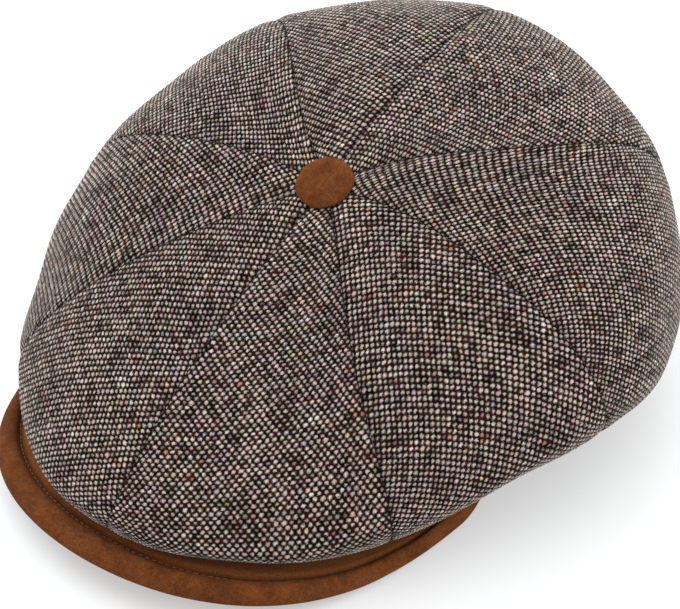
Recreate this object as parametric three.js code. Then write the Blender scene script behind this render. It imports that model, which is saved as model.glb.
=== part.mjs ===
// Eight-panel flat cap: a puffed cloth crown of eight wedge panels, a plain headband,
// a covered visor under the front edge and a covered button on top.
// Millimetres, +Z up, visor towards -Y, wearer's left towards +X, resting on z = 0.
import * as THREE from 'three';

// Driving dimensions
const crownPointHeight = 104.5;    // where the panels would meet, before the button pulls them in
const crownPitch = 23;             // forward lean of the cloth under the button, degrees
const clothThickness = 2.2;        // outer cloth with its backing
const pieceGap = 0.3;              // clearance between neighbouring pieces
const crownHole = 2.6;             // radius left open under the button for its shank
const seamBendStart = 0.15;        // share of the reach below which a seam runs straight
const seamDepth = 1.1;             // how far a seam line lies below the panels
const seamSoftness = 3.4;          // half width of the valley beside a seam
const buttonPull = 2;              // how far the button draws the cloth in
const buttonPullRadius = 18;

const bandHalfWidth = 87;          // headband oval, outside
const bandHalfLength = 103;
const bandHeight = 22;
const bandThickness = 2;
const crownSeamHeight = 18.6;      // underside of the crown where it is sewn to the headband

const visorFrontReach = 150;       // centre of the headband to the rim, straight ahead
const visorHalfWidth = 98.5;       // rim's half width, reached at its two ends
const visorEndReach = 18;          // how far ahead of the centre those ends lie
const visorRoundness = 0.67;       // below 1 fills the rim out towards its corners
const visorTurn = -3;              // the visor sits this many degrees off the centre line
const visorRootSpread = 86;        // half the arc of headband it is sewn to, degrees
const visorThickness = 4.4;
const visorRootHeight = 15.4;      // middle of the board at the headband, centre front
const visorRimHeight = 14;         // middle of the board at the rim, centre front
const visorArch = 9.6;             // drop of the board from its centre line to its ends
const visorGrooveInset = 10;       // stitched groove, inwards from the rim
const visorGrooveDepth = 0.9;
const visorGrooveWidth = 1.4;      // half width of that groove
const visorPadding = 0.7;          // swell of the strip between groove and rim

const buttonDiameter = 24;
const buttonHeight = 4.4;
const buttonUnderside = 1;         // rise of its underside from the shank to the rim
const buttonRimRound = 0.7;
const buttonDomePower = 0.7;       // below 1 makes the dome flatter on top
const buttonShankRadius = 1.8;
const buttonShankLength = 3.2;

const crownBackY = 150;
const crownCentreY = (visorFrontReach - crownBackY) / 2;

// The crown's widest line, seen from above and from the side: one row for each 45 degrees
// from centre front to centre back, the same on both sides.
const widestLine = [
  { place: 'front',       reach: 140, drop: 79 },
  { place: 'brow',        reach: 126, drop: 76 },
  { place: 'side',        reach: 131, drop: 59 },
  { place: 'rear corner', reach: 148, drop: 64 },
  { place: 'back',        reach: crownBackY, drop: 47 },
];

// How a line from the button to the edge is rounded, and how the cloth folds under there.
const rounding = {
  //           front side back
  fullness:   [1.6, 3.6, 1.6],
  sharpness:  [1.8, 1.5, 3.2],
  tuckInward: [16, 25, 23],
  tuckDown:   [7, 17, 36],
};

// The seams in order round the crown, each with the panel that follows it. An angle is
// measured from centre front towards the wearer's left; a sway bends the seam sideways at
// half its reach, a twist does so one way above and the other way below; a swell is how far
// the panel's edge stands out between its two seams.
const seams = [
  { seam: 'centre front', angle: 1,     sway: -3,   twist: 0.5, panel: 'crown_front_left',   swell: -0.5 },
  { seam: 'brow left',    angle: 49,    sway: -4.5, twist: 1,   panel: 'crown_temple_left',  swell: -0.5 },
  { seam: 'side left',    angle: 92.5,  sway: -2.5, twist: 2,   panel: 'crown_side_left',    swell: -1.5 },
  { seam: 'rear left',    angle: 143,   sway: -16,  twist: 5,   panel: 'crown_back_left',    swell: -2.5 },
  { seam: 'centre back',  angle: 185,   sway: -3.5, twist: 0.5, panel: 'crown_back_right',   swell: -2.5 },
  { seam: 'rear right',   angle: 229,   sway: 0,    twist: 2.5, panel: 'crown_side_right',   swell: -1.5 },
  { seam: 'side right',   angle: 269.5, sway: 4,    twist: -2,  panel: 'crown_temple_right', swell: -0.5 },
  { seam: 'brow right',   angle: 315,   sway: 0.5,  twist: 0,   panel: 'crown_front_right',  swell: -0.5 },
];

// Materials
const tweed = { color: 0x7d746c, roughness: 0.95, metalness: 0 };
const suede = { color: 0x6e4222, roughness: 0.9, metalness: 0 };

const radians = THREE.MathUtils.degToRad;
const upward = new THREE.Vector3(0, 0, 1);

// Smooth even curve through five values given at 0, 45, 90, 135 and 180 degrees.
function around(values, angle) {
  const last = values.length - 1;
  const half = (index) => (index === 0 || index === last ? 0.5 : 1);
  let sum = 0;
  for (let wave = 0; wave <= last; wave++) {
    let weight = 0;
    values.forEach((value, index) => {
      weight += half(index) * value * Math.cos((Math.PI * wave * index) / last);
    });
    sum += half(wave) * (2 / last) * weight * Math.cos(wave * angle);
  }
  return sum;
}

// Value for the side, turning smoothly into the front's or the back's.
function blend([front, side, back], angle) {
  const along = Math.cos(angle);
  return side + ((along > 0 ? front : back) - side) * along * along;
}

const reaches = widestLine.map((row) => row.reach);
const drops = widestLine.map((row) => row.drop);

function bandRadius(angle) {
  const across = Math.sin(angle) / bandHalfWidth;
  const along = Math.cos(angle) / bandHalfLength;
  return 1 / Math.hypot(across, along);
}

// Share of the way from the button to the widest line, for a run of 0 to 1.
function shareOfReach(angle, run) {
  return 1 - Math.pow(1 - Math.min(run, 1), blend(rounding.sharpness, angle));
}

// Outer face of the cloth on one line from the button: a run of 0 to 1 goes down the top to
// the widest line, 1 to 2 round the fold, and 2 to 3 under the crown to the headband.
function crownSection(angle, run, swell) {
  const reach = around(reaches, angle) + swell;
  const edgeHeight = crownPointHeight - around(drops, angle);
  if (run <= 1) {
    const fullness = blend(rounding.fullness, angle);
    const sharpness = blend(rounding.sharpness, angle);
    const share = shareOfReach(angle, run);
    const lean = -Math.tan(radians(crownPitch)) * Math.cos(angle) * reach;
    const fall = crownPointHeight + lean - edgeHeight;
    const rounded = 1 - Math.pow(1 - Math.pow(share, fullness), 1 / sharpness);
    const radius = reach * share;
    const pulled = buttonPull * Math.exp(-((radius / buttonPullRadius) ** 2));
    return { radius, height: crownPointHeight + lean * share - fall * rounded - pulled };
  }
  const inward = blend(rounding.tuckInward, angle);
  const down = blend(rounding.tuckDown, angle);
  if (run <= 2) {
    const turn = ((run - 1) * Math.PI) / 2;
    const radius = reach - inward * (1 - Math.cos(turn));
    return { radius, height: edgeHeight - down * Math.sin(turn) };
  }
  const share = run - 2;
  const from = reach - inward;
  const to = bandRadius(angle) + 2 * pieceGap;
  const foldHeight = edgeHeight - down;
  const ease = share * share * (3 - 2 * share);
  const height = foldHeight + (crownSeamHeight - foldHeight) * ease;
  return { radius: from + (to - from) * share, height };
}

function seamAngle(row, run) {
  const angle = radians(row.angle);
  const share = shareOfReach(angle, run);
  const bend = row.sway * Math.sin(Math.PI * share) + row.twist * Math.sin(2 * Math.PI * share);
  return angle + bend / (around(reaches, angle) * Math.max(share, seamBendStart));
}

// Point of a panel's outer face, for a share across it from its own seam to the next.
function panelPoint(row, next, across, run) {
  const start = seamAngle(row, run);
  const turn = next.angle < row.angle ? 2 * Math.PI : 0;
  const end = seamAngle(next, run) + turn;
  const middle = start + (end - start) * across;
  const swell = row.swell * Math.sin(Math.PI * across) ** 2;
  const { radius, height } = crownSection(middle, run, swell * Math.min(run, 1));
  const clearance = (pieceGap / 2 / radius) * (1 - 2 * across);
  const angle = middle + clearance;
  return new THREE.Vector3(radius * Math.sin(angle), -radius * Math.cos(angle), height);
}

function panelNormal(row, next, across, run) {
  const step = 0.002;
  const firstRun = 0.01;
  const lastRun = 3;
  const a0 = Math.max(across - step, 0);
  const a1 = Math.min(across + step, 1);
  const r0 = Math.max(run - step, firstRun);
  const r1 = Math.min(run + step, lastRun);
  const sideways = panelPoint(row, next, a1, run).sub(panelPoint(row, next, a0, run));
  const downhill = panelPoint(row, next, across, r1).sub(panelPoint(row, next, across, r0));
  return downhill.cross(sideways).normalize();
}

// Closed wall between two grids of points that share their rows and columns.
function wallGeometry(outer, inner) {
  const rows = outer.length;
  const columns = outer[0].length;
  const positions = [];
  [outer, inner].forEach((grid) => grid.flat().forEach((point) => positions.push(...point.toArray())));
  const at = (face, row, column) => face * rows * columns + row * columns + column;
  const index = [];
  const quad = (a, b, c, d) => index.push(a, b, c, a, c, d);
  for (let row = 0; row < rows - 1; row++) {
    for (let column = 0; column < columns - 1; column++) {
      quad(at(0, row, column), at(0, row + 1, column), at(0, row + 1, column + 1), at(0, row, column + 1));
      quad(at(1, row, column), at(1, row, column + 1), at(1, row + 1, column + 1), at(1, row + 1, column));
    }
  }
  for (let row = 0; row < rows - 1; row++) {
    const last = columns - 1;
    quad(at(0, row, 0), at(1, row, 0), at(1, row + 1, 0), at(0, row + 1, 0));
    quad(at(0, row, last), at(0, row + 1, last), at(1, row + 1, last), at(1, row, last));
  }
  for (let column = 0; column < columns - 1; column++) {
    const last = rows - 1;
    quad(at(0, 0, column), at(0, 0, column + 1), at(1, 0, column + 1), at(1, 0, column));
    quad(at(0, last, column), at(1, last, column), at(1, last, column + 1), at(0, last, column + 1));
  }
  const geometry = new THREE.BufferGeometry();
  geometry.setAttribute('position', new THREE.Float32BufferAttribute(positions, 3));
  geometry.setIndex(index);
  geometry.computeVertexNormals();
  return geometry;
}

// Shares across a panel, closer together beside its seams.
const panelColumns = [0, 0.035, 0.11, 0.3, 0.5, 0.7, 0.89, 0.965, 1];

// Runs down a panel: from the button hole to the widest line, round the fold and under.
function panelRuns(angle) {
  const topSteps = 15;
  const foldSteps = 6;
  const underSteps = 3;
  const holeShare = crownHole / around(reaches, angle);
  const first = 1 - Math.pow(1 - holeShare, 1 / blend(rounding.sharpness, angle));
  const runs = [];
  for (let i = 0; i < topSteps; i++) runs.push(first + (1 - first) * (i / topSteps));
  for (let i = 0; i < foldSteps; i++) runs.push(1 + i / foldSteps);
  for (let i = 0; i <= underSteps; i++) runs.push(2 + i / underSteps);
  return runs;
}

function panelMesh(row, next) {
  const width = (next.angle - row.angle + 360) % 360;
  const runs = panelRuns(radians(row.angle + width / 2));
  const outer = [];
  const inner = [];
  runs.forEach((run) => {
    const outerRow = [];
    const innerRow = [];
    panelColumns.forEach((across) => {
      const point = panelPoint(row, next, across, run);
      const normal = panelNormal(row, next, across, run);
      const panelWidth = Math.hypot(point.x, point.y) * radians(width);
      const fromSeam = Math.min(across, 1 - across) * panelWidth;
      const valley = seamDepth * Math.exp(-((fromSeam / seamSoftness) ** 2));
      outerRow.push(point.clone().addScaledVector(normal, -valley));
      innerRow.push(point.clone().addScaledVector(normal, -clothThickness));
    });
    outer.push(outerRow);
    inner.push(innerRow);
  });
  const mesh = new THREE.Mesh(wallGeometry(outer, inner), new THREE.MeshStandardMaterial(tweed));
  mesh.name = row.panel;
  return mesh;
}

function headbandMesh() {
  const oval = new THREE.Shape();
  oval.absellipse(0, 0, bandHalfWidth, bandHalfLength, 0, 2 * Math.PI, false, 0);
  const hole = new THREE.Path();
  const insideWidth = bandHalfWidth - bandThickness;
  const insideLength = bandHalfLength - bandThickness;
  hole.absellipse(0, 0, insideWidth, insideLength, 0, 2 * Math.PI, true, 0);
  oval.holes.push(hole);
  const options = { depth: bandHeight, bevelEnabled: false, curveSegments: 72 };
  const geometry = new THREE.ExtrudeGeometry(oval, options);
  const mesh = new THREE.Mesh(geometry, new THREE.MeshStandardMaterial(tweed));
  mesh.name = 'headband';
  return mesh;
}

// Visor point for a turn of -90 to 90 degrees from one end to the other, a share of the way
// from the headband to the rim, and a lift off the middle of the board.
function visorPoint(turn, share, lift) {
  const ahead = Math.pow(Math.max(Math.cos(turn), 0), visorRoundness);
  const rimX = visorHalfWidth * Math.sin(turn);
  const rimY = -(visorEndReach + (visorFrontReach - visorEndReach) * ahead);
  const rootAngle = (turn * visorRootSpread) / 90;
  const rootRadius = bandRadius(rootAngle + radians(visorTurn)) + pieceGap;
  const rootX = rootRadius * Math.sin(rootAngle);
  const rootY = -rootRadius * Math.cos(rootAngle);
  const x = rootX + (rimX - rootX) * share;
  const y = rootY + (rimY - rootY) * share;
  const arch = visorArch * (x / visorHalfWidth) ** 2;
  const height = visorRootHeight + (visorRimHeight - visorRootHeight) * share - arch + lift;
  return new THREE.Vector3(x, y, height).applyAxisAngle(upward, radians(visorTurn));
}

function visorMesh() {
  const alongSteps = 44;
  const halfThickness = visorThickness / 2;
  // Distances inwards from the rim, and then shares of what is left up to the headband.
  const rimStations = [0.05, 0.5, 1.2, halfThickness, 4, 7, 8.6, visorGrooveInset, 11.4, 13];
  const rootStations = [0.5, 1];
  const lastRim = rimStations[rimStations.length - 1];
  const stations = [
    ...rimStations.map((inset) => () => inset),
    ...rootStations.map((part) => (width) => lastRim + (width - lastRim) * part),
  ].reverse();
  const top = [];
  const bottom = [];
  stations.forEach((insetFor) => {
    const topRow = [];
    const bottomRow = [];
    for (let step = 0; step <= alongSteps; step++) {
      const turn = radians(90 * ((2 * step) / alongSteps - 1));
      const width = visorPoint(turn, 0, 0).distanceTo(visorPoint(turn, 1, 0));
      const inset = Math.min(insetFor(width), width);
      const share = 1 - inset / width;
      const intoRim = Math.max(0, 1 - inset / halfThickness);
      const half = halfThickness * Math.sqrt(1 - intoRim * intoRim);
      const groove = visorGrooveDepth * Math.exp(-(((inset - visorGrooveInset) / visorGrooveWidth) ** 2));
      const padding = visorPadding * Math.sin(Math.PI * Math.min(inset / visorGrooveInset, 1));
      topRow.push(visorPoint(turn, share, half - groove + padding));
      bottomRow.push(visorPoint(turn, share, -half));
    }
    top.push(topRow);
    bottom.push(bottomRow);
  });
  const mesh = new THREE.Mesh(wallGeometry(top, bottom), new THREE.MeshStandardMaterial(suede));
  mesh.name = 'visor';
  return mesh;
}

function buttonMesh() {
  const radius = buttonDiameter / 2;
  const sides = 24;
  const domeSteps = 8;
  const profile = [
    new THREE.Vector2(0, -buttonShankLength),
    new THREE.Vector2(buttonShankRadius, -buttonShankLength),
    new THREE.Vector2(buttonShankRadius, 0),
    new THREE.Vector2(radius - buttonRimRound, buttonUnderside),
  ];
  for (let step = 0; step < domeSteps; step++) {
    const turn = (step / domeSteps) * (Math.PI / 2);
    const out = radius * Math.pow(Math.cos(turn), buttonDomePower);
    const low = buttonUnderside + buttonRimRound;
    profile.push(new THREE.Vector2(out, low + (buttonHeight - low) * Math.sin(turn)));
  }
  profile.push(new THREE.Vector2(0, buttonHeight));
  const geometry = new THREE.LatheGeometry(profile, sides);
  geometry.rotateX(Math.PI / 2);
  const mesh = new THREE.Mesh(geometry, new THREE.MeshStandardMaterial(suede));
  mesh.name = 'button';
  const lean = radians(crownPitch);
  const outward = new THREE.Vector3(0, -Math.sin(lean), Math.cos(lean));
  mesh.rotation.x = lean;
  mesh.position.set(0, 0, crownPointHeight - buttonPull).addScaledVector(outward, pieceGap);
  return mesh;
}

const crown = new THREE.Group();
seams.forEach((row, index) => crown.add(panelMesh(row, seams[(index + 1) % seams.length])));

const cap = new THREE.Group();
cap.add(crown, headbandMesh(), visorMesh(), buttonMesh());
cap.position.y = crownCentreY;
cap.updateMatrixWorld(true);

export default cap;
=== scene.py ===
# Eight-panel tweed flat cap with a suede visor and a covered button.
import math

import bmesh
import bpy
import numpy as np
from mathutils import Matrix, Vector


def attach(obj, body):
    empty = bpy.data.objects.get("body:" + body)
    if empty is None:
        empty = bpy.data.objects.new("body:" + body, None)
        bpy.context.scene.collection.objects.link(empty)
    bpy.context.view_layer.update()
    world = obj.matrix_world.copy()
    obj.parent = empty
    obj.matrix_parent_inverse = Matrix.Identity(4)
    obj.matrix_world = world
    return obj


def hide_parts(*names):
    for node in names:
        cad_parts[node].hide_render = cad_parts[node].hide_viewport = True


mm = 0.001
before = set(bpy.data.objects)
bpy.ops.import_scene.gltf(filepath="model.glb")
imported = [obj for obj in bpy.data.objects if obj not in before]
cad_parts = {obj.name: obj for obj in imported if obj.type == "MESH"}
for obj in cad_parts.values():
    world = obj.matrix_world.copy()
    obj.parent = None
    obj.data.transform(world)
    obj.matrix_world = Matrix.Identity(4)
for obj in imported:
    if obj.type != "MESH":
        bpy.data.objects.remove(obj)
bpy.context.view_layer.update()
scene = bpy.context.scene
print("frame loaded,", len(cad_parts), "solids")


# shape of the crown
crown = {
    "pointHeight": 104.5 * mm,       # where the panels would meet before the button pulls them in
    "pitch": math.radians(23),       # forward lean of the cloth under the button
    "reach": [140 * mm, 126 * mm, 131 * mm, 148 * mm, 150 * mm],  # widest line, front to back
    "drop": [79 * mm, 76 * mm, 59 * mm, 64 * mm, 47 * mm],        # its depth below the point
    "fullness": [1.6, 3.6, 1.6],     # roundness of the shoulder: front, side, back
    "sharpness": [1.8, 1.5, 3.2],    # how late the top bends down to the widest line
    "tuckInward": [16 * mm, 25 * mm, 23 * mm],  # how far the fold turns in under the widest line
    "tuckDown": [7 * mm, 17 * mm, 36 * mm],     # and how far down
    "bendStart": 0.15,               # share of the reach inside which a seam's sway is held back
    "buttonPull": 2 * mm,
    "pullRadius": 18 * mm,
    "seamHeight": 18.6 * mm,         # where the cloth is sewn to the headband
    "seamGap": 0.05 * mm,
    "cloth": 2.1 * mm,               # thickness of a panel
    "slopeStep": 0.002,              # a panel's slope is read this far to each side
    "slopeStart": 0.01,              # and no nearer to the point than this
}
band = {
    "halfWidth": 87 * mm,
    "halfLength": 103 * mm,
    "height": 22 * mm,
    "thickness": 2 * mm,
    "clearance": 0.6 * mm,           # between the band and the cloth around it
    "rings": 168,
    "heightSteps": 12,
    "meanRadius": 95 * mm,           # turns the angle round the band into threads
    "farThread": 150,                # a thread past this one lies near the back of the band
}
# each seam: angle from centre front in degrees, sway and twist in mm;
# then the panel after it, its swell in mm and how far its grain is turned, in degrees
seams = [
    {"angle": 1, "sway": -3, "twist": 0.5, "panel": "crown_front_left", "swell": -0.5, "grain": 1},
    {"angle": 49, "sway": -4.5, "twist": 1, "panel": "crown_temple_left", "swell": -0.5, "grain": 11},
    {"angle": 92.5, "sway": -2.5, "twist": 2, "panel": "crown_side_left", "swell": -1.5, "grain": -2},
    {"angle": 143, "sway": -16, "twist": 5, "panel": "crown_back_left", "swell": -2.5, "grain": -12},
    {"angle": 185, "sway": -3.5, "twist": 0.5, "panel": "crown_back_right", "swell": -2.5, "grain": 12},
    {"angle": 229, "sway": 0, "twist": 2.5, "panel": "crown_side_right", "swell": -1.5, "grain": 0},
    {"angle": 269.5, "sway": 4, "twist": -2, "panel": "crown_temple_right", "swell": -0.5, "grain": -10},
    {"angle": 315, "sway": 0.5, "twist": 0, "panel": "crown_front_right", "swell": -0.5, "grain": -2},
]


def around(values, angle):  # smooth curve through values spaced evenly from front to back
    last = len(values) - 1
    half = [0.5] + [1] * (last - 1) + [0.5]
    total = 0
    for wave in range(last + 1):
        weight = sum(half[i] * values[i] * math.cos(math.pi * wave * i / last) for i in range(last + 1))
        total = total + half[wave] * (2 / last) * weight * np.cos(wave * angle)
    return total


def blend(values, angle):  # front, side, back
    along = np.cos(angle)
    return values[1] + (np.where(along > 0, values[0], values[2]) - values[1]) * along * along


def bandRadius(angle):
    return 1 / np.hypot(np.sin(angle) / band["halfWidth"], np.cos(angle) / band["halfLength"])


def shareOfReach(angle, run):
    return 1 - (1 - np.minimum(run, 1)) ** blend(crown["sharpness"], angle)


def crownSection(angle, run, swell):  # run 0 to 1 down the top, 1 to 2 round the fold, 2 to 3 under
    reach = around(crown["reach"], angle) + swell
    edge = crown["pointHeight"] - around(crown["drop"], angle)
    share = shareOfReach(angle, run)
    lean = -math.tan(crown["pitch"]) * np.cos(angle) * reach
    fall = crown["pointHeight"] + lean - edge
    fullness, sharpness = blend(crown["fullness"], angle), blend(crown["sharpness"], angle)
    rounded = 1 - (1 - share ** fullness) ** (1 / sharpness)
    topRadius = reach * share
    pulled = crown["buttonPull"] * np.exp(-((topRadius / crown["pullRadius"]) ** 2))
    topHeight = crown["pointHeight"] + lean * share - fall * rounded - pulled
    inward = blend(crown["tuckInward"], angle)
    down = blend(crown["tuckDown"], angle)
    turn = np.clip(run - 1, 0, 1) * math.pi / 2
    foldRadius = reach - inward * (1 - np.cos(turn))
    foldHeight = edge - down * np.sin(turn)
    under = np.clip(run - 2, 0, 1)
    ease = under * under * (3 - 2 * under)
    toBand = bandRadius(angle) + band["clearance"]
    underRadius = reach - inward + (toBand - reach + inward) * under
    underHeight = edge - down + (crown["seamHeight"] - edge + down) * ease
    radius = np.where(run <= 1, topRadius, np.where(run <= 2, foldRadius, underRadius))
    height = np.where(run <= 1, topHeight, np.where(run <= 2, foldHeight, underHeight))
    return radius, height


def seamAngle(seam, run):
    angle = math.radians(seam["angle"])
    share = shareOfReach(angle, run)
    bend = (seam["sway"] * np.sin(math.pi * share) + seam["twist"] * np.sin(2 * math.pi * share)) * mm
    return angle + bend / (around(crown["reach"], angle) * np.maximum(share, crown["bendStart"]))


def panelPoint(seam, nextSeam, across, run):
    first = seamAngle(seam, run)
    last = seamAngle(nextSeam, run) + (2 * math.pi if nextSeam["angle"] < seam["angle"] else 0)
    middle = first + (last - first) * across
    swell = seam["swell"] * mm * np.sin(math.pi * across) ** 2 * np.minimum(run, 1)
    radius, height = crownSection(middle, run, swell)
    angle = middle + (crown["seamGap"] / 2 / radius) * (1 - 2 * across)
    return np.stack([radius * np.sin(angle), -radius * np.cos(angle), height], -1)


def panelNormal(seam, nextSeam, across, run):
    step = crown["slopeStep"]
    right, left = [panelPoint(seam, nextSeam, across + side, run) for side in (step, -step)]
    low = panelPoint(seam, nextSeam, across, np.minimum(run + step, 3))
    high = panelPoint(seam, nextSeam, across, np.maximum(run - step, crown["slopeStart"]))
    normal = np.cross(low - high, right - left)
    return normal / np.linalg.norm(normal, axis=-1, keepdims=True)


def softNoise(points, size, seed):  # smooth seeded unevenness of about -1 to 1
    rng = np.random.default_rng(seed)
    total = np.zeros(len(points))
    for _ in range(8):
        direction = rng.normal(size=points.shape[1])
        direction *= rng.uniform(0.6, 1.5) / np.linalg.norm(direction)
        total += np.sin(points @ direction * 2 * math.pi / size + rng.uniform(0, 2 * math.pi))
    return total / 3


# tweed panels
tweed = {
    "warpPitch": 1.46 * mm,       # threads that run from the button to the edge
    "weftPitch": 1.78 * mm,       # threads that run across a panel
    "vertsPerThread": 2,
    "relief": 0.26 * mm,          # how proud a thread stands at its crossings
    "reliefPower": 0.8,
    "weftOver": 0.2,              # how much prouder the weft lies than the warp
    "threadUneven": 0.35,         # thick and thin places along a thread
    "threadWander": 0.12 * mm,
    "seamValley": 0.22 * mm,
    "valleyWidth": 3.0 * mm,
    "backFollows": 0.6,           # share of the valley that shows inside the crown
    "seamCrease": 0.18 * mm,
    "creaseWidth": 0.9 * mm,
    "seamRidge": 0.10 * mm,       # seam allowance pressed flat underneath
    "ridgeAway": 5.5 * mm,
    "ridgeWidth": 2.6 * mm,
    "pucker": 0.12 * mm,
    "puckerLength": 8 * mm,
    "puckerDrift": 17 * mm,       # length over which the puckers crowd and thin out
    "puckerAway": 2.6 * mm,
    "puckerWidth": 3 * mm,
    "softness": 0.6 * mm,         # broad unevenness of steamed cloth
    "softSize": 55 * mm,
    "calmWidth": 6 * mm,          # a seam holds the cloth still this far from it
    "pressedWidth": 0.8 * mm,     # and flattens the threads this far
    "seamShade": 0.9 * mm,        # how far the painted shade along a seam reaches
}
weaveStart = [400, 400]  # keeps every thread's number positive
# the flat cut of a panel is found on a table of places that reaches a little past both seams
cutting = {
    "overlap": 0.15,              # how far it reaches past a seam, as a share of the panel's width
    "acrossSteps": 79,
    "runSteps": 240,
    "firstRun": 0.012,            # the cloth starts here, under the button
    "steepest": 0.8,              # most that a row across the panel may curl, in radians
    "leastBend": 1e-3,
    "tries": 14,
    "mostAside": 0.2,             # no try moves further than this across the panel
    "mostOnward": 0.3,            # or than this along its run
    "closeEnough": 0.3 * mm,
}


def flatTables(seam, nextSeam):  # where each share across and run lies on the flat cut of a panel
    across = np.linspace(-cutting["overlap"], 1 + cutting["overlap"], cutting["acrossSteps"])
    run = np.linspace(cutting["firstRun"], 3, cutting["runSteps"])
    a, r = np.meshgrid(across, run)
    points = panelPoint(seam, nextSeam, a, r)
    middle = len(across) // 2
    down = np.linalg.norm(np.diff(points[:, middle], axis=0), axis=1)
    along = np.concatenate([[0], np.cumsum(down)]) + np.linalg.norm(points[0, middle, :2])
    sideways = np.linalg.norm(np.diff(points, axis=1), axis=2)
    side = np.concatenate([np.zeros((len(run), 1)), np.cumsum(sideways, axis=1)], 1)
    side -= side[:, middle:middle + 1]
    first, last = int(np.argmin(abs(across))), int(np.argmin(abs(across - 1)))
    width = side[:, last] - side[:, first]
    bend = (np.gradient(width, along) / width)[:, None]
    bend = np.where(abs(bend) < cutting["leastBend"], cutting["leastBend"], bend)
    turn = np.clip(bend * side, -cutting["steepest"], cutting["steepest"])
    u = np.sin(turn) / bend
    v = along[:, None] - (1 - np.cos(turn)) / bend
    return {"across": across, "run": run, "u": u, "v": v, "along": along, "width": width}


def lookUp(table, grid, across, run):
    x, y = [
        np.clip((value - steps[0]) / (steps[1] - steps[0]), 0, len(steps) - 1.001)
        for value, steps in ((across, table["across"]), (run, table["run"]))
    ]
    column, line = x.astype(int), y.astype(int)
    fx, fy = x - column, y - line
    low = grid[line, column] * (1 - fx) + grid[line, column + 1] * fx
    high = grid[line + 1, column] * (1 - fx) + grid[line + 1, column + 1] * fx
    return low * (1 - fy) + high * fy


def sewnPlace(table, u, v):  # share across and run for a spot on the flat cut
    shares = (-cutting["overlap"], 1 + cutting["overlap"])
    stepAcross = table["across"][1] - table["across"][0]
    stepRun = table["run"][1] - table["run"][0]
    slopes = {}
    for name in ("u", "v"):
        slopes[name + "r"], slopes[name + "a"] = np.gradient(table[name], stepRun, stepAcross)
    run = np.interp(v, table["along"], table["run"])
    across = 0.5 + u / np.interp(run, table["run"], table["width"])
    across = np.clip(across, *shares)
    mostAside, mostOnward = cutting["mostAside"], cutting["mostOnward"]
    for _ in range(cutting["tries"]):  # each try walks down the slopes to the spot
        missU = u - lookUp(table, table["u"], across, run)
        missV = v - lookUp(table, table["v"], across, run)
        ua, ur, va, vr = [lookUp(table, slopes[name], across, run) for name in ("ua", "ur", "va", "vr")]
        spread = ua * vr - ur * va
        spread = np.where(abs(spread) < 1e-9, 1e-9, spread)
        aside = np.clip((missU * vr - missV * ur) / spread, -mostAside, mostAside)
        onward = np.clip((missV * ua - missU * va) / spread, -mostOnward, mostOnward)
        across = np.clip(across + aside, *shares)
        run = np.clip(run + onward, table["run"][0], 3)
    return across, run


def threadWander(threads, seed):  # every thread drifts a little on its own way along the cloth
    rng = np.random.default_rng(seed)
    x, y = threads[:, 0], threads[:, 1]
    phases = rng.uniform(0, 2 * math.pi, (4, 1000))
    warp, weft = np.round(x).astype(int) + 500, np.round(y).astype(int) + 500
    aside = np.sin(y / 5 + phases[0][warp]) + 0.7 * np.sin(y / 2.3 + phases[1][warp])
    along = np.sin(x / 6 + phases[2][weft]) + 0.7 * np.sin(x / 2.7 + phases[3][weft])
    return aside * tweed["threadWander"], along * tweed["threadWander"]


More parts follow.
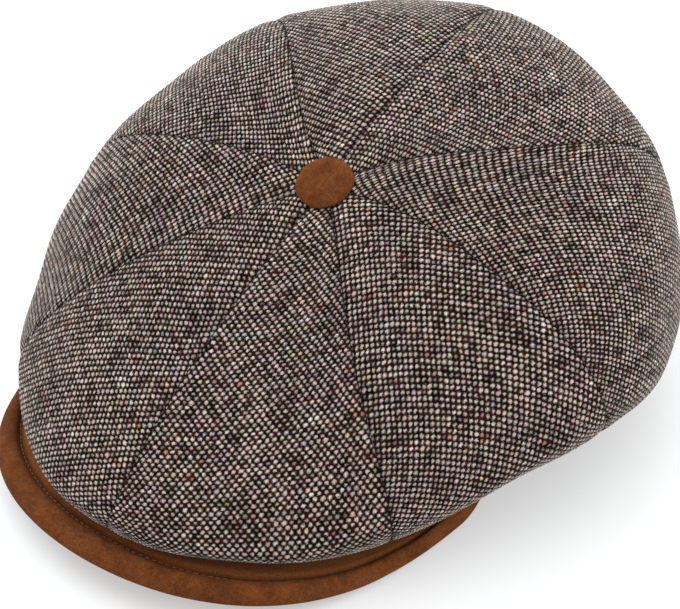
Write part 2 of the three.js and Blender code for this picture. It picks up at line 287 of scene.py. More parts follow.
def makePanel(index):
    seam, nextSeam = seams[index], seams[(index + 1) % len(seams)]
    table = flatTables(seam, nextSeam)
    grain = math.radians(seam["grain"])
    turned = np.array([[math.cos(grain), -math.sin(grain)], [math.sin(grain), math.cos(grain)]])
    warp, weft, fine = tweed["warpPitch"], tweed["weftPitch"], tweed["vertsPerThread"]

    # cut: a woven rectangle, one vertex on every crossing and between, trimmed to the panel
    used = (table["across"] > -0.01) & (table["across"] < 1.01)
    flatU, flatV = table["u"][:, used], table["v"][:, used]
    outline = np.stack([flatU.ravel(), flatV.ravel()], 1) @ turned.T / [warp, weft]
    low, high = np.floor(outline.min(0)) - 1, np.ceil(outline.max(0)) + 1
    spanX, spanY = (high - low).astype(int)
    bm = bmesh.new()
    bmesh.ops.create_grid(bm, x_segments=int(spanX * fine), y_segments=int(spanY * fine), size=0.5)
    bmesh.ops.scale(bm, vec=Vector((spanX, spanY, 1)), verts=bm.verts)
    bmesh.ops.translate(bm, vec=Vector((*((low + high) / 2), 0)), verts=bm.verts)

    def place(co):
        threads = np.round(co[:, :2] * fine * 2) / (fine * 2)
        aside, along = threadWander(threads, 40 + index)
        flat = np.stack([threads[:, 0] * warp + aside, threads[:, 1] * weft + along], 1) @ turned
        across, run = sewnPlace(table, flat[:, 0], flat[:, 1])
        missU = flat[:, 0] - lookUp(table, table["u"], across, run)
        missV = flat[:, 1] - lookUp(table, table["v"], across, run)
        found = np.hypot(missU, missV) < cutting["closeEnough"]
        inside = (across > 0) & (across < 1) & (run > table["run"][0]) & (run < 3) & found
        return threads, across, run, inside

    inside = place(np.array([v.co for v in bm.verts]))[3]
    bm.verts.index_update()
    spare = {f for f in bm.faces if not any(inside[v.index] for v in f.verts)}
    for v in bm.verts:  # two cells that touch at a corner alone are joined by a third
        kept = [f for f in v.link_faces if f not in spare]
        if len(kept) == 2 and not set(kept[0].edges) & set(kept[1].edges):
            spare.discard(next(f for f in v.link_faces if f in spare))
    bmesh.ops.delete(bm, geom=list(spare), context="FACES")

    # wall: the cut is doubled, and its lower copy becomes the inside
    doubled = bmesh.ops.extrude_face_region(bm, geom=bm.faces[:], use_keep_orig=True)["geom"]
    upper = [v for v in doubled if isinstance(v, bmesh.types.BMVert)]
    bmesh.ops.translate(bm, vec=Vector((0, 0, 1)), verts=upper)
    mesh = bpy.data.meshes.new(seam["panel"] + "_cloth")
    bm.to_mesh(mesh)
    bm.free()
    co = np.empty(len(mesh.vertices) * 3)
    mesh.vertices.foreach_get("co", co)
    co = co.reshape(-1, 3)
    outerFace = co[:, 2] > 0.5

    # sew: every vertex goes to its place on the crown
    threads, across, run, inside = place(co)
    across, run = np.clip(across, 0, 1), np.clip(run, table["run"][0], 3)
    points = panelPoint(seam, nextSeam, across, run)
    normals = panelNormal(seam, nextSeam, across, run)
    width = np.interp(run, table["run"], table["width"])
    along = np.interp(run, table["run"], table["along"])
    fromSeam = np.minimum(across, 1 - across) * width
    side = np.where(across < 0.5, 0.0, 1.0)
    valley = tweed["seamValley"] * np.exp(-((fromSeam / tweed["valleyWidth"]) ** 2))
    crease = tweed["seamCrease"] * np.exp(-((fromSeam / tweed["creaseWidth"]) ** 2))
    fromRidge = (fromSeam - tweed["ridgeAway"]) / tweed["ridgeWidth"]
    ridge = tweed["seamRidge"] * np.exp(-(fromRidge ** 2))
    drift = 2.4 * np.sin(along / tweed["puckerDrift"] + index * 1.7 + side * 2.1)  # differs at every seam
    wave = np.sin(2 * math.pi * along / tweed["puckerLength"] + drift)
    fromPucker = (fromSeam - tweed["puckerAway"]) / tweed["puckerWidth"]
    pucker = tweed["pucker"] * wave * np.exp(-(fromPucker ** 2))
    broad = tweed["softness"] * softNoise(points, tweed["softSize"], 7)
    crossing = abs(np.cos(math.pi * threads[:, 0]) * np.cos(math.pi * threads[:, 1]))
    parity = np.cos(math.pi * np.round(threads[:, 0])) * np.cos(math.pi * np.round(threads[:, 1]))
    thickness = 1 + tweed["threadUneven"] * softNoise(threads * [0.15, 1], 5, 90 + index)
    proud = tweed["relief"] * (crossing ** tweed["reliefPower"]) * (1 + tweed["weftOver"] * parity)
    relief = proud * thickness
    fade = np.clip(fromSeam / tweed["pressedWidth"], 0, 1) * inside
    calm = np.clip(fromSeam / tweed["calmWidth"], 0, 1)
    lift = relief * fade + broad * calm + ridge + pucker - valley - crease
    back = valley * tweed["backFollows"] + crown["cloth"]
    points = points + normals * np.where(outerFace, lift, -back)[:, None]
    mesh.vertices.foreach_set("co", points.ravel())

    corner = np.empty(len(mesh.loops), int)
    mesh.loops.foreach_get("vertex_index", corner)
    weave = mesh.uv_layers.new(name="weave")
    weave.data.foreach_set("uv", (threads[corner] + weaveStart).ravel())
    # painted shade: the material darkens the cloth near each seam by this
    shade = mesh.attributes.new("seamShade", "FLOAT", "POINT")
    shade.data.foreach_set("value", np.exp(-((fromSeam / tweed["seamShade"]) ** 2)))
    mesh.update()
    piece = finishPiece(mesh, seam["panel"] + "_cloth")
    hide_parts(seam["panel"])
    return piece


def finishPiece(mesh, name):
    bm = bmesh.new()
    bm.from_mesh(mesh)
    bmesh.ops.remove_doubles(bm, verts=bm.verts, dist=0.004 * mm)
    flaps = [f for f in bm.faces if any(e.is_boundary for e in f.edges)]
    bmesh.ops.delete(bm, geom=flaps, context="FACES")
    bmesh.ops.recalc_face_normals(bm, faces=bm.faces)
    bm.to_mesh(mesh)
    bm.free()
    mesh.polygons.foreach_set("use_smooth", [True] * len(mesh.polygons))
    mesh.update()
    piece = bpy.data.objects.new(name, mesh)
    scene.collection.objects.link(piece)
    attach(piece, "root")
    return piece


panels = [makePanel(index) for index in range(len(seams))]
print("panels sewn:", sum(len(p.data.polygons) for p in panels), "faces")


# headband
def spinRound(bm, geom, steps):  # a full turn of a section about the upright axis
    centre, upright = (0, 0, 0), (0, 0, 1)
    bmesh.ops.spin(bm, geom=geom, cent=centre, axis=upright, angle=2 * math.pi, steps=steps, use_merge=True)
    bmesh.ops.remove_doubles(bm, verts=bm.verts, dist=0.01 * mm)


def makeHeadband():
    height, wall = band["height"], band["thickness"]
    bm = bmesh.new()
    section = bmesh.ops.create_grid(bm, x_segments=1, y_segments=band["heightSteps"], size=0.5)["verts"]
    for v in section:
        v.co = Vector((band["halfLength"] - wall * (0.5 - v.co.x), 0, height * (v.co.y + 0.5)))
    # only the section's outline is left to spin
    bmesh.ops.delete(bm, geom=bm.faces[:], context="FACES_ONLY")
    near = 1e-4
    level = [e for e in bm.edges if abs(e.verts[0].co.z - e.verts[1].co.z) < 1e-7]
    across = [e for e in level if near < e.verts[0].co.z < height - near]
    bmesh.ops.delete(bm, geom=across, context="EDGES")
    spinRound(bm, bm.verts[:] + bm.edges[:], band["rings"])
    bmesh.ops.recalc_face_normals(bm, faces=bm.faces)
    for v in bm.verts:  # the ring becomes the head's oval
        angle = math.atan2(v.co.x, -v.co.y)
        deep = band["halfLength"] - v.co.xy.length
        outline = float(bandRadius(angle)) - deep
        v.co.x, v.co.y = outline * math.sin(angle), -outline * math.cos(angle)
    mesh = bpy.data.meshes.new("headband_cloth")
    bm.to_mesh(mesh)
    bm.free()
    co = np.empty(len(mesh.vertices) * 3)
    mesh.vertices.foreach_get("co", co)
    co = co.reshape(-1, 3)
    corner = np.empty(len(mesh.loops), int)
    mesh.loops.foreach_get("vertex_index", corner)
    angle = np.arctan2(co[:, 0], -co[:, 1])
    warps = angle * band["meanRadius"] / tweed["warpPitch"]
    uv = np.stack([warps, co[:, 2] / tweed["weftPitch"]], 1)[corner]
    # faces that cross the join at the back take their threads from one side of it
    faceOf = np.repeat(np.arange(len(mesh.polygons)), [p.loop_total for p in mesh.polygons])
    farSide = np.zeros(len(mesh.polygons), bool)
    np.logical_or.at(farSide, faceOf, uv[:, 0] > band["farThread"])
    wrap = farSide[faceOf] & (uv[:, 0] < 0)
    uv[wrap, 0] += 2 * math.pi * band["meanRadius"] / tweed["warpPitch"]
    mesh.uv_layers.new(name="weave").data.foreach_set("uv", (uv + weaveStart).ravel())
    piece = finishPiece(mesh, "headband_cloth")
    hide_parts("headband")
    return piece


headband = makeHeadband()
print("headband made")


# visor
visor = {
    "frontReach": 150 * mm,
    "halfWidth": 98.5 * mm,
    "endReach": 11 * mm,
    "roundness": 0.63,
    "turn": math.radians(-3),         # the visor sits a little off the centre line
    "rootSpread": 86 / 90,            # share of the half round that is sewn to the headband
    "thickness": 4.4 * mm,
    "rootHeight": 15.4 * mm,
    "rimHeight": 14 * mm,
    "arch": 9.6 * mm,
    "gap": 0.3 * mm,
    "grooveInset": 12 * mm,
    "grooveDepth": 1.3 * mm,
    "grooveWidth": 1.5 * mm,
    "grooveShoulder": 1.5,            # power of the groove's section: higher is squarer
    "padding": 2.3 * mm,
    "innerRidge": 0.6 * mm,           # the cover swells again behind the groove
    "ridgeBehind": 4 * mm,
    "ridgeWidth": 3 * mm,
    "tipStart": math.radians(86.5),   # where the ends begin to narrow towards the headband
    "tipNarrowing": 0.8,
    "unevenness": [(0.35 * mm, 34 * mm, 21), (0.1 * mm, 9 * mm, 22)],  # height, size, seed
    "evenRim": 3 * mm,
    "alongSteps": 300,
    "stitch": 2.9 * mm,
    "stitchLength": 0.4,              # half a stitch's own length, as a share of its spacing
    "stitchLift": 0.12 * mm,
    "stitchWobble": 0.05,
    "threadThickness": 0.42 * mm,
    "dimple": 0.22 * mm,              # how far each stitch pulls the suede down
    "dimpleWidth": 1.6 * mm,
    "shadeWidth": 1.5 * mm,
}


def visorPoint(turn, share, lift):
    ahead = np.maximum(np.cos(turn), 0) ** visor["roundness"]
    rimX = visor["halfWidth"] * np.sin(turn)
    rimY = -(visor["endReach"] + (visor["frontReach"] - visor["endReach"]) * ahead)
    rootAngle = turn * visor["rootSpread"]
    rootRadius = bandRadius(rootAngle + visor["turn"]) + visor["gap"]
    toTip = np.clip((abs(turn) - visor["tipStart"]) / (math.pi / 2 - visor["tipStart"]), 0, 1)
    share = share * (1 - visor["tipNarrowing"] * (1 - np.sqrt(1 - toTip ** 2)))
    x = rootRadius * np.sin(rootAngle) * (1 - share) + rimX * share
    y = -rootRadius * np.cos(rootAngle) * (1 - share) + rimY * share
    arch = visor["arch"] * (x / visor["halfWidth"]) ** 2
    z = visor["rootHeight"] + (visor["rimHeight"] - visor["rootHeight"]) * share - arch + lift
    c, s = math.cos(visor["turn"]), math.sin(visor["turn"])
    return np.stack([x * c - y * s, x * s + y * c, z], -1)


def visorWidth(turn):  # from the headband out to the rim
    root, rim = visorPoint(turn, np.zeros_like(turn), 0), visorPoint(turn, np.ones_like(turn), 0)
    return np.linalg.norm(root - rim, axis=1)


def rimTurns(count):  # turns spaced evenly along the rim
    fine = np.linspace(-math.pi / 2, math.pi / 2, 4001)
    points = visorPoint(fine, np.ones_like(fine), 0)
    length = np.concatenate([[0], np.cumsum(np.linalg.norm(np.diff(points, axis=0), axis=1))])
    return np.interp(np.linspace(0, length[-1], count), length, fine), length[-1]


def boardHalf(inset):  # half the board's thickness, rounded off at the rim
    half = visor["thickness"] / 2
    intoRim = np.clip(1 - inset / half, 0, 1)
    return half * np.sqrt(1 - intoRim ** 2)


def visorTop(inset, lengthAlong):
    fromGroove = inset - visor["grooveInset"]
    shoulder = abs(fromGroove / visor["grooveWidth"]) ** visor["grooveShoulder"]
    groove = visor["grooveDepth"] * np.exp(-shoulder)
    pulls = np.cos(2 * math.pi * lengthAlong / visor["stitch"])
    dimple = visor["dimple"] * pulls * np.exp(-((fromGroove / visor["dimpleWidth"]) ** 2))
    padding = visor["padding"] * np.sin(math.pi * np.minimum(inset / visor["grooveInset"], 1)) ** 0.8
    fromRidge = (inset - visor["grooveInset"] - visor["ridgeBehind"]) / visor["ridgeWidth"]
    inner = visor["innerRidge"] * np.exp(-(fromRidge ** 2))
    return boardHalf(inset) - groove - dimple + padding + inner


def makeVisor():
    turns, length = rimTurns(visor["alongSteps"] + 1)
    insets = np.concatenate([  # rows crowd together at the rim and at the groove
        np.linspace(0, 1, 8)[:-1] ** 2 * visor["thickness"] / 2,
        np.linspace(visor["thickness"] / 2, 8 * mm, 9)[:-1],
        np.linspace(8 * mm, 12.5 * mm, 15),
        np.linspace(12.5 * mm, 20 * mm, 7)[1:],
    ])
    rootShares = np.linspace(0, 1, 7)[1:]
    rowsTop = len(insets) + len(rootShares)
    underStations = np.concatenate([insets[:8], [5 * mm, 10 * mm, 15 * mm, 20 * mm]])
    underShares = np.linspace(0, 1, 4)[1:]
    rowsUnder = len(underStations) + len(underShares)
    rows = rowsTop + rowsUnder - 1

    # a flat grid: columns along the rim, lines from the root on top, round the rim and back underneath
    bm = bmesh.new()
    bmesh.ops.create_grid(bm, x_segments=visor["alongSteps"], y_segments=rows - 1, size=0.5)
    grid = np.array([v.co for v in bm.verts])
    column = np.round((grid[:, 0] + 0.5) * visor["alongSteps"]).astype(int)
    line = np.round((grid[:, 1] + 0.5) * (rows - 1)).astype(int)
    turn = turns[column]
    width = visorWidth(turn)
    lengthAlong = column / visor["alongSteps"] * length
    onTop = line < rowsTop

    def insetOf(row, stations, shares):  # first the stations from the rim, then shares of what is left
        station = stations[np.clip(row, 0, len(stations) - 1)]
        share = shares[np.clip(row - len(stations), 0, len(shares) - 1)]
        return np.where(row < len(stations), station, stations[-1] + (width - stations[-1]) * share)

    topInset = insetOf(rowsTop - 1 - line, insets, rootShares)
    underInset = insetOf(line - rowsTop + 1, underStations, underShares)
    inset = np.minimum(np.where(onTop, topInset, underInset), width)
    lift = np.where(onTop, visorTop(inset, lengthAlong), -boardHalf(inset))
    places = visorPoint(turn, 1 - inset / width, lift)
    uneven = sum(high * softNoise(places, size, seed) for high, size, seed in visor["unevenness"])
    places[:, 2] += uneven * np.clip(inset / visor["evenRim"], 0, 1)
    for v, place in zip(bm.verts, places):
        v.co = place
    openEdges = [e for e in bm.edges if e.is_boundary]
    bmesh.ops.holes_fill(bm, edges=openEdges, sides=0)
    mesh = bpy.data.meshes.new("visor_suede")
    bm.to_mesh(mesh)
    bm.free()
    fromGroove = (inset - visor["grooveInset"]) / visor["shadeWidth"]
    # painted shade: the suede is darkened along the groove
    shade = mesh.attributes.new("seamShade", "FLOAT", "POINT")
    shade.data.foreach_set("value", np.where(onTop, np.exp(-(fromGroove ** 2)), 0))
    # painted light: the strip behind the groove is lightened where the crown's shade falls on it
    paintedLight = mesh.attributes.new("paintedLight", "FLOAT", "POINT")
    paintedLight.data.foreach_set("value", np.where(onTop, np.clip(fromGroove / 1.5, 0, 1), 0))
    piece = finishPiece(mesh, "visor_suede")
    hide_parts("visor")
    return piece, length


def makeStitches(length):
    count = int(length / visor["stitch"])
    turns, _ = rimTurns(count * 2 + 1)
    bm = bmesh.new()
    rng = np.random.default_rng(5)
    halfThread = visor["threadThickness"] / 2
    size = Matrix.Diagonal((visor["stitch"] * visor["stitchLength"], halfThread, halfThread, 1))
    lying = Matrix.Rotation(math.pi / 2, 4, "Y")
    for stitch in range(count):
        turn = turns[2 * stitch + 1:2 * stitch + 2]
        width = visorWidth(turn)
        if width[0] < visor["grooveInset"] + 3 * mm:  # no room for the seam at the tips
            continue
        inset = np.full(1, visor["grooveInset"])
        lift = visorTop(inset, np.array([(stitch + 0.5) * visor["stitch"]])) + visor["stitchLift"]
        here = visorPoint(turn, 1 - inset / width, lift)[0]
        ahead = visorPoint(turn + 0.004, 1 - inset / width, lift)[0]
        way = Vector(ahead - here).normalized()
        turned = way.to_track_quat("X", "Z").to_matrix().to_4x4()
        wobble = Matrix.Rotation(rng.normal(0, visor["stitchWobble"]), 4, "Z")
        place = Matrix.Translation(here) @ turned @ wobble @ size @ lying
        bmesh.ops.create_uvsphere(bm, u_segments=6, v_segments=6, radius=1, matrix=place)
    mesh = bpy.data.meshes.new("visor_stitching")
    bm.to_mesh(mesh)
    bm.free()
    piece = finishPiece(mesh, "visor_stitching")
    return piece


visorPiece, rimLength = makeVisor()
stitching = makeStitches(rimLength)
print("visor covered,", len(visorPiece.data.polygons), "faces")


# button
button = {
    "diameter": 24 * mm,
    "height": 4.4 * mm,
    "underside": 1 * mm,
    "rimRound": 0.7 * mm,
    "domePower": 0.7,                # below 1 fills the dome out towards its rim
    "shankRadius": 1.8 * mm,
    "shankLength": 3.2 * mm,
    "gap": 0.3 * mm,                 # between the button's underside and the crown's point
    "rimSteps": 8,
    "domeSteps": 22,
    "sides": 96,
    "unevenness": [(0.10 * mm, 11 * mm, 31), (0.05 * mm, 4 * mm, 32)],  # height, size, seed
}


def makeButton():
    radius = button["diameter"] / 2
    under, rimRound = button["underside"], button["rimRound"]
    low = under + rimRound
    profile = [
        (0, -button["shankLength"]),
        (button["shankRadius"], -button["shankLength"]),
        (button["shankRadius"], 0),
        (radius * 0.6, under * 0.7),
        (radius - rimRound * 1.6, under),
    ]
    for step in range(button["rimSteps"]):
        turn = -math.pi / 2 + math.pi / 2 * (step + 0.5) / button["rimSteps"]
        profile.append((radius - rimRound + rimRound * math.cos(turn), low + rimRound * math.sin(turn)))
    for step in range(button["domeSteps"]):
        turn = step / button["domeSteps"] * math.pi / 2
        out = radius * math.cos(turn) ** button["domePower"]
        profile.append((out, low + (button["height"] - low) * math.sin(turn)))
    profile.append((0, button["height"]))
    bm = bmesh.new()
    line = [bm.verts.new((x, 0, z)) for x, z in profile]
    edges = [bm.edges.new(pair) for pair in zip(line, line[1:])]
    spinRound(bm, line + edges, button["sides"])
    co = np.array([v.co for v in bm.verts])
    uneven = sum(high * softNoise(co, size, seed) for high, size, seed in button["unevenness"])
    for v, swell in zip(bm.verts, uneven):
        if v.co.z > 0:
            v.co += v.co.normalized() * float(swell)
    lean = Matrix.Rotation(crown["pitch"], 4, "X")
    point = Vector((0, 0, crown["pointHeight"] - crown["buttonPull"]))
    seat = point + lean @ Vector((0, 0, button["gap"]))
    bmesh.ops.transform(bm, matrix=Matrix.Translation(seat) @ lean, verts=bm.verts)
    mesh = bpy.data.meshes.new("button_suede")
    bm.to_mesh(mesh)
    bm.free()
    piece = finishPiece(mesh, "button_suede")
    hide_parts("button")
    return piece


buttonPiece = makeButton()
print("button covered")


# materials
class Graph:  # small helper that wires a material's nodes
    def __init__(self, name):
        self.material = bpy.data.materials.new(name)
        self.material.use_nodes = True
        self.tree = self.material.node_tree
        self.tree.nodes.clear()

    def add(self, kind, inputs=None, **settings):
        node = self.tree.nodes.new(kind)
        for key, value in settings.items():
            setattr(node, key, value)
        for key, value in (inputs or {}).items():
            if isinstance(value, bpy.types.NodeSocket):
                self.tree.links.new(value, node.inputs[key])
            else:
                node.inputs[key].default_value = value
        return node

    def math(self, operation, a, b=0.0, c=0.0):
        return self.add("ShaderNodeMath", {0: a, 1: b, 2: c}, operation=operation).outputs[0]

    def mix(self, factor, a, b, blend="MIX"):
        node = self.add("ShaderNodeMix", {"Factor": factor}, data_type="RGBA", blend_type=blend)
        for socket, value in ((node.inputs[6], a), (node.inputs[7], b)):
            if isinstance(value, bpy.types.NodeSocket):
                self.tree.links.new(value, socket)
            else:
                socket.default_value = value
        return node.outputs[2]

    def smooth(self, value, low, high):
        inputs = {"Value": value, "From Min": low, "From Max": high}
        return self.add("ShaderNodeMapRange", inputs, interpolation_type="SMOOTHSTEP").outputs[0]

    def vector(self, operation, a, b):
        second = "Scale" if operation == "SCALE" else 1
        return self.add("ShaderNodeVectorMath", {0: a, second: b}, operation=operation).outputs[0]

    def noise(self, place, scale, detail, roughness=0.5):
        inputs = {"Vector": place, "Scale": scale, "Detail": detail, "Roughness": roughness}
        return self.add("ShaderNodeTexNoise", inputs)

    def push(self, place, amount, *texture):  # a small uneven shift to every side
        shift = self.vector("SUBTRACT", self.noise(place, *texture).outputs["Color"], (0.5, 0.5, 0.5))
        return self.vector("SCALE", shift, amount)

    def dice(self, name, value, dimensions):  # one throw for each thread or float
        return self.add("ShaderNodeTexWhiteNoise", {name: value}, noise_dimensions=dimensions)

    def darken(self, colour, shade):  # shade is a number, 0 to 1 and a little over
        grey = self.add("ShaderNodeCombineColor", {0: shade, 1: shade, 2: shade}).outputs[0]
        return self.mix(1.0, colour, grey, "MULTIPLY")

    def bump(self, height, depth, strength):
        inputs = {"Strength": strength, "Distance": depth, "Height": height}
        return self.add("ShaderNodeBump", inputs).outputs[0]

    def finish(self, surface):
        shader = self.add("ShaderNodeBsdfPrincipled", surface)
        self.add("ShaderNodeOutputMaterial", {0: shader.outputs[0]})
        return self.material

    def ramp(self, value, stops, interpolation="LINEAR"):
        node = self.add("ShaderNodeValToRGB", {"Fac": value})
        ramp = node.color_ramp
        ramp.interpolation = interpolation
        while len(ramp.elements) < len(stops):
            ramp.elements.new(1)
        for element, (position, colour) in zip(ramp.elements, stops):
            element.position = position
            element.color = (*colour, 1)
        return node.outputs[0]


def linear(r, g, b):  # a colour as a screen shows it, 0 to 255
    return tuple(((c / 255 + 0.055) / 1.055) ** 2.4 if c > 10 else c / 255 / 12.92 for c in (r, g, b))


weaveLook = {
    "yarns": [
        (0.0, linear(98, 90, 84)),
        (0.14, linear(137, 127, 118)),
        (0.36, linear(171, 159, 148)),
        (0.54, linear(191, 179, 167)),
        (0.7, linear(176, 158, 149)),
        (0.86, linear(158, 151, 145)),
        (1.0, linear(207, 200, 190)),
    ],
    "darks": [
        (0.0, linear(13, 7, 4)),
        (0.4, linear(24, 11, 8)),
        (0.75, linear(42, 20, 14)),
        (1.0, linear(15, 14, 21)),
    ],
    "flecks": [
        (0.0, linear(156, 82, 54)),
        (0.2, linear(140, 60, 56)),
        (0.38, linear(46, 52, 80)),
        (0.56, linear(112, 122, 96)),
        (0.7, linear(182, 164, 108)),
        (0.82, linear(96, 74, 90)),
        (0.92, linear(222, 214, 200)),
    ],
    "fleckShare": 0.03,
    "fleckStrength": 0.6,
    "floatLength": 0.58,              # half size of a weft float, in threads
    "floatWidth": 0.42,
    "floatEdge": (-0.3, 0.77),        # how softly a float fades into the warp
    "outOfLine": (0.7, 1.1, 2.0, 0.6),  # amount, scale, detail and roughness
    "frayed": (0.65, 3.6, 1.0, 0.5),
    "fibre": (5.0, 3.0, 0.7),
    "cloud": (0.07, 2.0),
    "slubStretch": (0.16, 2.7, 0),    # a thick place runs several floats along one weft
    "lightTint": 0.14,
    "darkTint": 0.7,
    "roughness": 1.0,
    "sheen": 0.72,
    "sheenTint": (0.86, 0.77, 0.69, 1),
    "bumpDepth": 0.35 * mm,
}


def tweedMaterial():
    g = Graph("woolTweed")
    uv = g.add("ShaderNodeUVMap", uv_map="weave").outputs[0]
    bent = g.vector("ADD", uv, g.push(uv, *weaveLook["outOfLine"]))
    bent = g.vector("ADD", bent, g.push(uv, *weaveLook["frayed"]))
    parts = g.add("ShaderNodeSeparateXYZ", {0: bent})
    x, y = parts.outputs[0], parts.outputs[1]

    # a weft float lies over every second warp, and each float has its own dice
    cellX, cellY = g.math("ROUND", x), g.math("ROUND", y)
    overWarps = g.math("ROUND", g.math("MULTIPLY", g.math("SUBTRACT", x, cellY), 0.5))
    floatX = g.math("MULTIPLY_ADD", overWarps, 2.0, cellY)
    aside = g.math("DIVIDE", g.math("SUBTRACT", x, floatX), weaveLook["floatLength"])
    along = g.math("DIVIDE", g.math("SUBTRACT", y, cellY), weaveLook["floatWidth"])
    longShare, wideShare = [g.math("POWER", g.math("ABSOLUTE", part), 2.0) for part in (aside, along)]
    fromMiddle = g.math("SQRT", g.math("ADD", longShare, wideShare))
    weftFloat = g.add("ShaderNodeCombineXYZ", {0: floatX, 1: cellY}).outputs[0]
    warpCell = g.add("ShaderNodeCombineXYZ", {0: cellX, 1: cellY}).outputs[0]
    floatDice = g.dice("Vector", weftFloat, "2D").outputs[0]
    warpDice = g.dice("Vector", warpCell, "2D").outputs[0]
    weftLine = g.dice("W", cellY, "1D").outputs[0]
    warpLine = g.dice("W", cellX, "1D").outputs[0]
    fibre = g.noise(uv, *weaveLook["fibre"]).outputs[0]
    slub = g.noise(g.vector("MULTIPLY", weftFloat, weaveLook["slubStretch"]), 1.0, 1.0)
    cloud = g.noise(uv, *weaveLook["cloud"]).outputs[0]

    # light weft over dark warp
    reach = g.math("SUBTRACT", 1.0, fromMiddle)
    for uneven, amount in ((fibre, 1.0), (slub.outputs[0], 0.5), (floatDice, 0.3)):
        reach = g.math("ADD", reach, g.math("MULTIPLY_ADD", uneven, amount, -amount / 2))
    mask = g.smooth(reach, *weaveLook["floatEdge"])
    tone = g.math("MULTIPLY_ADD", weftLine, 0.3, g.math("MULTIPLY", floatDice, 0.7))
    light = g.ramp(tone, weaveLook["yarns"])
    tint = g.vector("SCALE", slub.outputs["Color"], 2.0)
    light = g.mix(weaveLook["lightTint"], light, g.mix(1.0, light, tint, "MULTIPLY"))
    darkTone = g.math("MULTIPLY_ADD", warpLine, 0.5, g.math("MULTIPLY", warpDice, 0.5))
    dark = g.ramp(darkTone, weaveLook["darks"])
    dark = g.mix(weaveLook["darkTint"], dark, g.mix(1.0, dark, tint, "MULTIPLY"))

    # coloured neps spun into the yarn
    nepPlace = g.vector("MULTIPLY", weftFloat, (0.4, 1, 1))
    nepCell = g.add("ShaderNodeVectorMath", {0: nepPlace}, operation="FLOOR").outputs[0]
    nep = g.dice("Vector", nepCell, "3D")
    isNep = g.math("LESS_THAN", nep.outputs[0], weaveLook["fleckShare"])
    nepParts = g.add("ShaderNodeSeparateColor", {0: nep.outputs[1]})
    nepColour = g.ramp(nepParts.outputs[1], weaveLook["flecks"], "CONSTANT")
    light = g.mix(g.math("MULTIPLY", isNep, weaveLook["fleckStrength"]), light, nepColour)
    colour = g.mix(mask, dark, light)
    cloudTone = g.math("MULTIPLY_ADD", cloud, 0.7, 0.65)
    colour = g.darken(colour, g.math("MULTIPLY", g.math("MULTIPLY_ADD", fibre, 0.9, 0.55), cloudTone))

    # painted shade: the cloth's colour is darkened where it dips into a seam, and its sheen is taken out
    # there
    atSeam = g.add("ShaderNodeAttribute", attribute_name="seamShade").outputs["Fac"]
    soft = g.math("MULTIPLY", atSeam, g.math("MULTIPLY_ADD", fibre, 1.2, 0.1))
    line = g.smooth(atSeam, 0.75, 1.0)
    paintedSeamShade = g.math("MAXIMUM", g.math("MULTIPLY", soft, 0.7), g.math("MULTIPLY", line, 0.8))
    colour = g.mix(paintedSeamShade, colour, (*weaveLook["darks"][0][1], 1))

    # threads as low rounded humps with twisted fibres
    roundness = g.math("MINIMUM", g.math("MULTIPLY", fromMiddle, fromMiddle), 1.0)
    weftHump = g.math("SUBTRACT", 1.0, roundness)
    waves = [g.math("COSINE", g.math("MULTIPLY", value, math.pi)) for value in (x, y)]
    between = g.math("MAXIMUM", g.math("MULTIPLY", g.math("MULTIPLY", *waves), -1), 0.0)
    hump = g.math("MAXIMUM", weftHump, g.math("MULTIPLY", between, 0.8))
    twist = g.math("SINE", g.math("MULTIPLY_ADD", x, 9.0, g.math("MULTIPLY", y, 12.0)))
    height = g.math("MULTIPLY_ADD", twist, 0.06, hump)
    height = g.math("MULTIPLY_ADD", fibre, 0.5, height)
    return g.finish({
        "Base Color": colour,
        "Normal": g.bump(height, weaveLook["bumpDepth"], 0.7),
        "Roughness": weaveLook["roughness"],
        "Sheen Weight": g.math("MULTIPLY_ADD", atSeam, -weaveLook["sheen"], weaveLook["sheen"]),
        "Sheen Roughness": 0.2,
        "Sheen Tint": weaveLook["sheenTint"],
        "Specular IOR Level": 0.02,
    })


suedeLook = {
    "base": linear(101, 57, 28),
    "deep": linear(82, 45, 22),
    # the lighter colour is both worn patches and the painted light behind the groove; the darkest is both
    # crushed nap and the painted shade in the groove
    "wornAndPaintedLight": linear(124, 75, 43),
    "crushedAndPaintedShade": linear(44, 24, 13),
    "cloud": (110.0, 4.0, 0.6),       # scale, detail and roughness
    "brushed": (520.0, 4.0, 0.7),
    "nap": (2000.0, 3.0, 0.8),
    "wornShare": 0.25,
    "crushedShare": 0.16,
    "paintedLightShare": 0.6,               # painted light on the strip behind the visor's groove, where the crown's shade falls
    "roughness": 1.0,
    "sheen": 0.08,
    "sheenTint": (0.8, 0.55, 0.38, 1),
    "napDepth": 0.16 * mm,
}


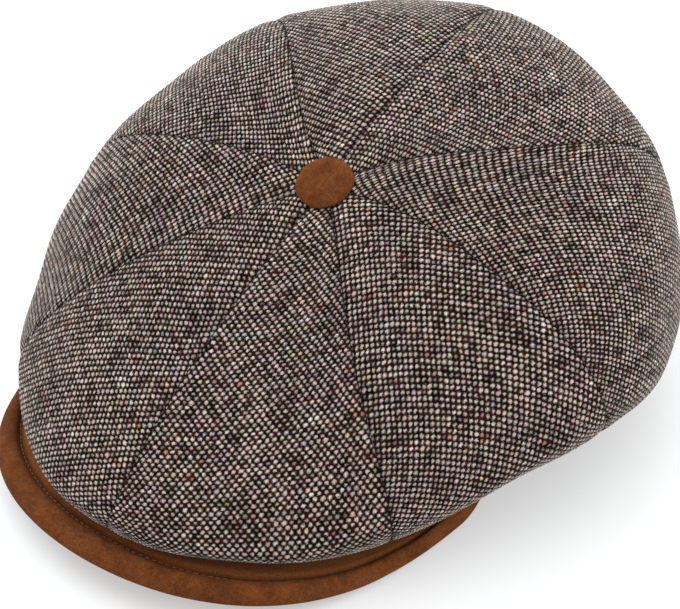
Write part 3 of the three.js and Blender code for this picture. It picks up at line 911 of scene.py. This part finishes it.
def suedeMaterial():
    g = Graph("brownSuede")
    place = g.add("ShaderNodeTexCoord").outputs["Object"]
    cloud = g.noise(place, *suedeLook["cloud"]).outputs[0]
    brushed = g.noise(place, *suedeLook["brushed"]).outputs[0]
    nap = g.noise(place, *suedeLook["nap"]).outputs[0]
    wornAndPaintedLight, crushedAndPaintedShade = (*suedeLook["wornAndPaintedLight"], 1), (*suedeLook["crushedAndPaintedShade"], 1)
    colour = g.mix(g.smooth(cloud, 0.34, 0.66), (*suedeLook["deep"], 1), (*suedeLook["base"], 1))
    high, low = g.smooth(brushed, 0.48, 0.7), g.smooth(brushed, 0.5, 0.32)
    colour = g.mix(g.math("MULTIPLY", high, suedeLook["wornShare"]), colour, wornAndPaintedLight)
    colour = g.mix(g.math("MULTIPLY", low, suedeLook["crushedShare"]), colour, crushedAndPaintedShade)
    # painted light on the strip behind the groove, where the crown's shade falls
    paintedLight = g.add("ShaderNodeAttribute", attribute_name="paintedLight").outputs["Fac"]
    colour = g.mix(g.math("MULTIPLY", paintedLight, suedeLook["paintedLightShare"]), colour, wornAndPaintedLight)
    colour = g.darken(colour, g.math("MULTIPLY_ADD", nap, 2.6, -0.3))
    # painted shade: the suede is darkened along the groove, in patches
    paintedGrooveShade = g.add("ShaderNodeAttribute", attribute_name="seamShade").outputs["Fac"]
    paintedGrooveShade = g.math("MULTIPLY", paintedGrooveShade, g.math("MULTIPLY_ADD", brushed, 1.3, 0.05))
    colour = g.mix(paintedGrooveShade, colour, crushedAndPaintedShade)
    return g.finish({
        "Base Color": colour,
        "Normal": g.bump(g.math("MULTIPLY_ADD", brushed, 0.8, nap), suedeLook["napDepth"], 0.7),
        "Roughness": suedeLook["roughness"],
        "Sheen Weight": suedeLook["sheen"],
        "Sheen Roughness": 0.35,
        "Sheen Tint": suedeLook["sheenTint"],
        "Specular IOR Level": 0.03,
    })


threadLook = {
    "shade": linear(122, 68, 34),
    "light": linear(166, 102, 56),
    "fuzz": (1800.0, 2.0),
    "fuzzDepth": 0.08 * mm,
    "roughness": 0.7,
    "specular": 0.15,
}


def threadMaterial():
    g = Graph("stitchThread")
    place = g.add("ShaderNodeTexCoord").outputs["Object"]
    fuzz = g.noise(place, *threadLook["fuzz"]).outputs[0]
    return g.finish({
        "Base Color": g.ramp(fuzz, [(0.3, threadLook["shade"]), (0.7, threadLook["light"])]),
        "Normal": g.bump(fuzz, threadLook["fuzzDepth"], 0.4),
        "Roughness": threadLook["roughness"],
        "Specular IOR Level": threadLook["specular"],
    })


def floorMaterial():
    return Graph("paleFloor").finish({
        "Base Color": (0.45, 0.45, 0.45, 1),
        "Roughness": 0.8,
        "Emission Color": (1, 1, 1, 1),
        "Emission Strength": 0.4,
    })


woolTweed, brownSuede = tweedMaterial(), suedeMaterial()
for piece in panels + [headband]:
    piece.data.materials.append(woolTweed)
for piece in (visorPiece, buttonPiece):
    piece.data.materials.append(brownSuede)
stitching.data.materials.append(threadMaterial())
print("materials made")


# studio
studio = {
    "azimuth": math.radians(37.3),    # camera, from straight ahead towards the wearer's left
    "elevation": math.radians(38.6),
    "distance": 1.0,
    "aim": (0, 0, 64.5 * mm),
    "aimRight": 5.6 * mm,
    "aimUp": -17.3 * mm,
    "lens": 130.9,
    "sensor": 36,
    "horizon": 0.48,                  # the room glows softly, more from above
    "zenith": 1.97,
    "floorHalf": 40,
    "floorBelow": 0.02 * mm,
    "lampSize": 1.2,
    "lampAim": (0, 0, 60 * mm),
    "lamps": [
        {"name": "leftLight", "at": (-1.6, 0.1, 1.0), "power": 16, "colour": (0.84, 1.0, 1.1)},
        {"name": "rightLight", "at": (1.4, 1.1, 0.6), "power": 17, "colour": (0.92, 1.0, 1.05)},
        {"name": "backLight", "at": (-0.9, 1.2, 1.4), "power": 9, "colour": (0.84, 1.0, 1.1)},
    ],
}


def setFloor():
    floorMesh = bpy.data.meshes.new("floor")
    bm = bmesh.new()
    bmesh.ops.create_grid(bm, x_segments=1, y_segments=1, size=studio["floorHalf"])
    bmesh.ops.translate(bm, vec=Vector((0, 0, -studio["floorBelow"])), verts=bm.verts)
    bm.to_mesh(floorMesh)
    bm.free()
    floorMesh.materials.append(floorMaterial())
    floor = bpy.data.objects.new("floor", floorMesh)
    scene.collection.objects.link(floor)


def setLight():
    world = bpy.data.worlds.new("softRoom")
    world.use_nodes = True
    sky = world.node_tree
    place = sky.nodes.new("ShaderNodeTexCoord")
    parts = sky.nodes.new("ShaderNodeSeparateXYZ")
    glow = sky.nodes.new("ShaderNodeMapRange")
    glow.inputs["To Min"].default_value = studio["horizon"]
    glow.inputs["To Max"].default_value = studio["zenith"]
    background = sky.nodes["Background"]
    background.inputs["Color"].default_value = (1, 1, 1, 1)
    sky.links.new(place.outputs["Generated"], parts.inputs[0])
    sky.links.new(parts.outputs["Z"], glow.inputs["Value"])
    sky.links.new(glow.outputs[0], background.inputs["Strength"])
    scene.world = world
    for lamp in studio["lamps"]:
        data = bpy.data.lights.new(lamp["name"], "AREA")
        data.size = studio["lampSize"]
        data.energy = lamp["power"]
        data.color = lamp["colour"]
        light = bpy.data.objects.new(lamp["name"], data)
        light.location = lamp["at"]
        aim = Vector(studio["lampAim"]) - Vector(lamp["at"])
        light.rotation_euler = aim.to_track_quat("-Z", "Y").to_euler()
        scene.collection.objects.link(light)


def setCamera():
    az, el = studio["azimuth"], studio["elevation"]
    back = Vector((math.sin(az) * math.cos(el), -math.cos(az) * math.cos(el), math.sin(el)))
    right = Vector((math.cos(az), math.sin(az), 0))
    up = back.cross(right)
    target = Vector(studio["aim"]) + right * studio["aimRight"] + up * studio["aimUp"]
    data = bpy.data.cameras.new("camera")
    data.lens = studio["lens"]
    data.sensor_width = studio["sensor"]
    data.sensor_fit = "HORIZONTAL"
    camera = bpy.data.objects.new("camera", data)
    axes = Matrix((right, up, back)).transposed().to_4x4()
    camera.matrix_world = Matrix.Translation(target + back * studio["distance"]) @ axes
    scene.collection.objects.link(camera)
    scene.camera = camera
    scene.view_settings.view_transform = "Standard"


setFloor()
setLight()
setCamera()
print("studio set")
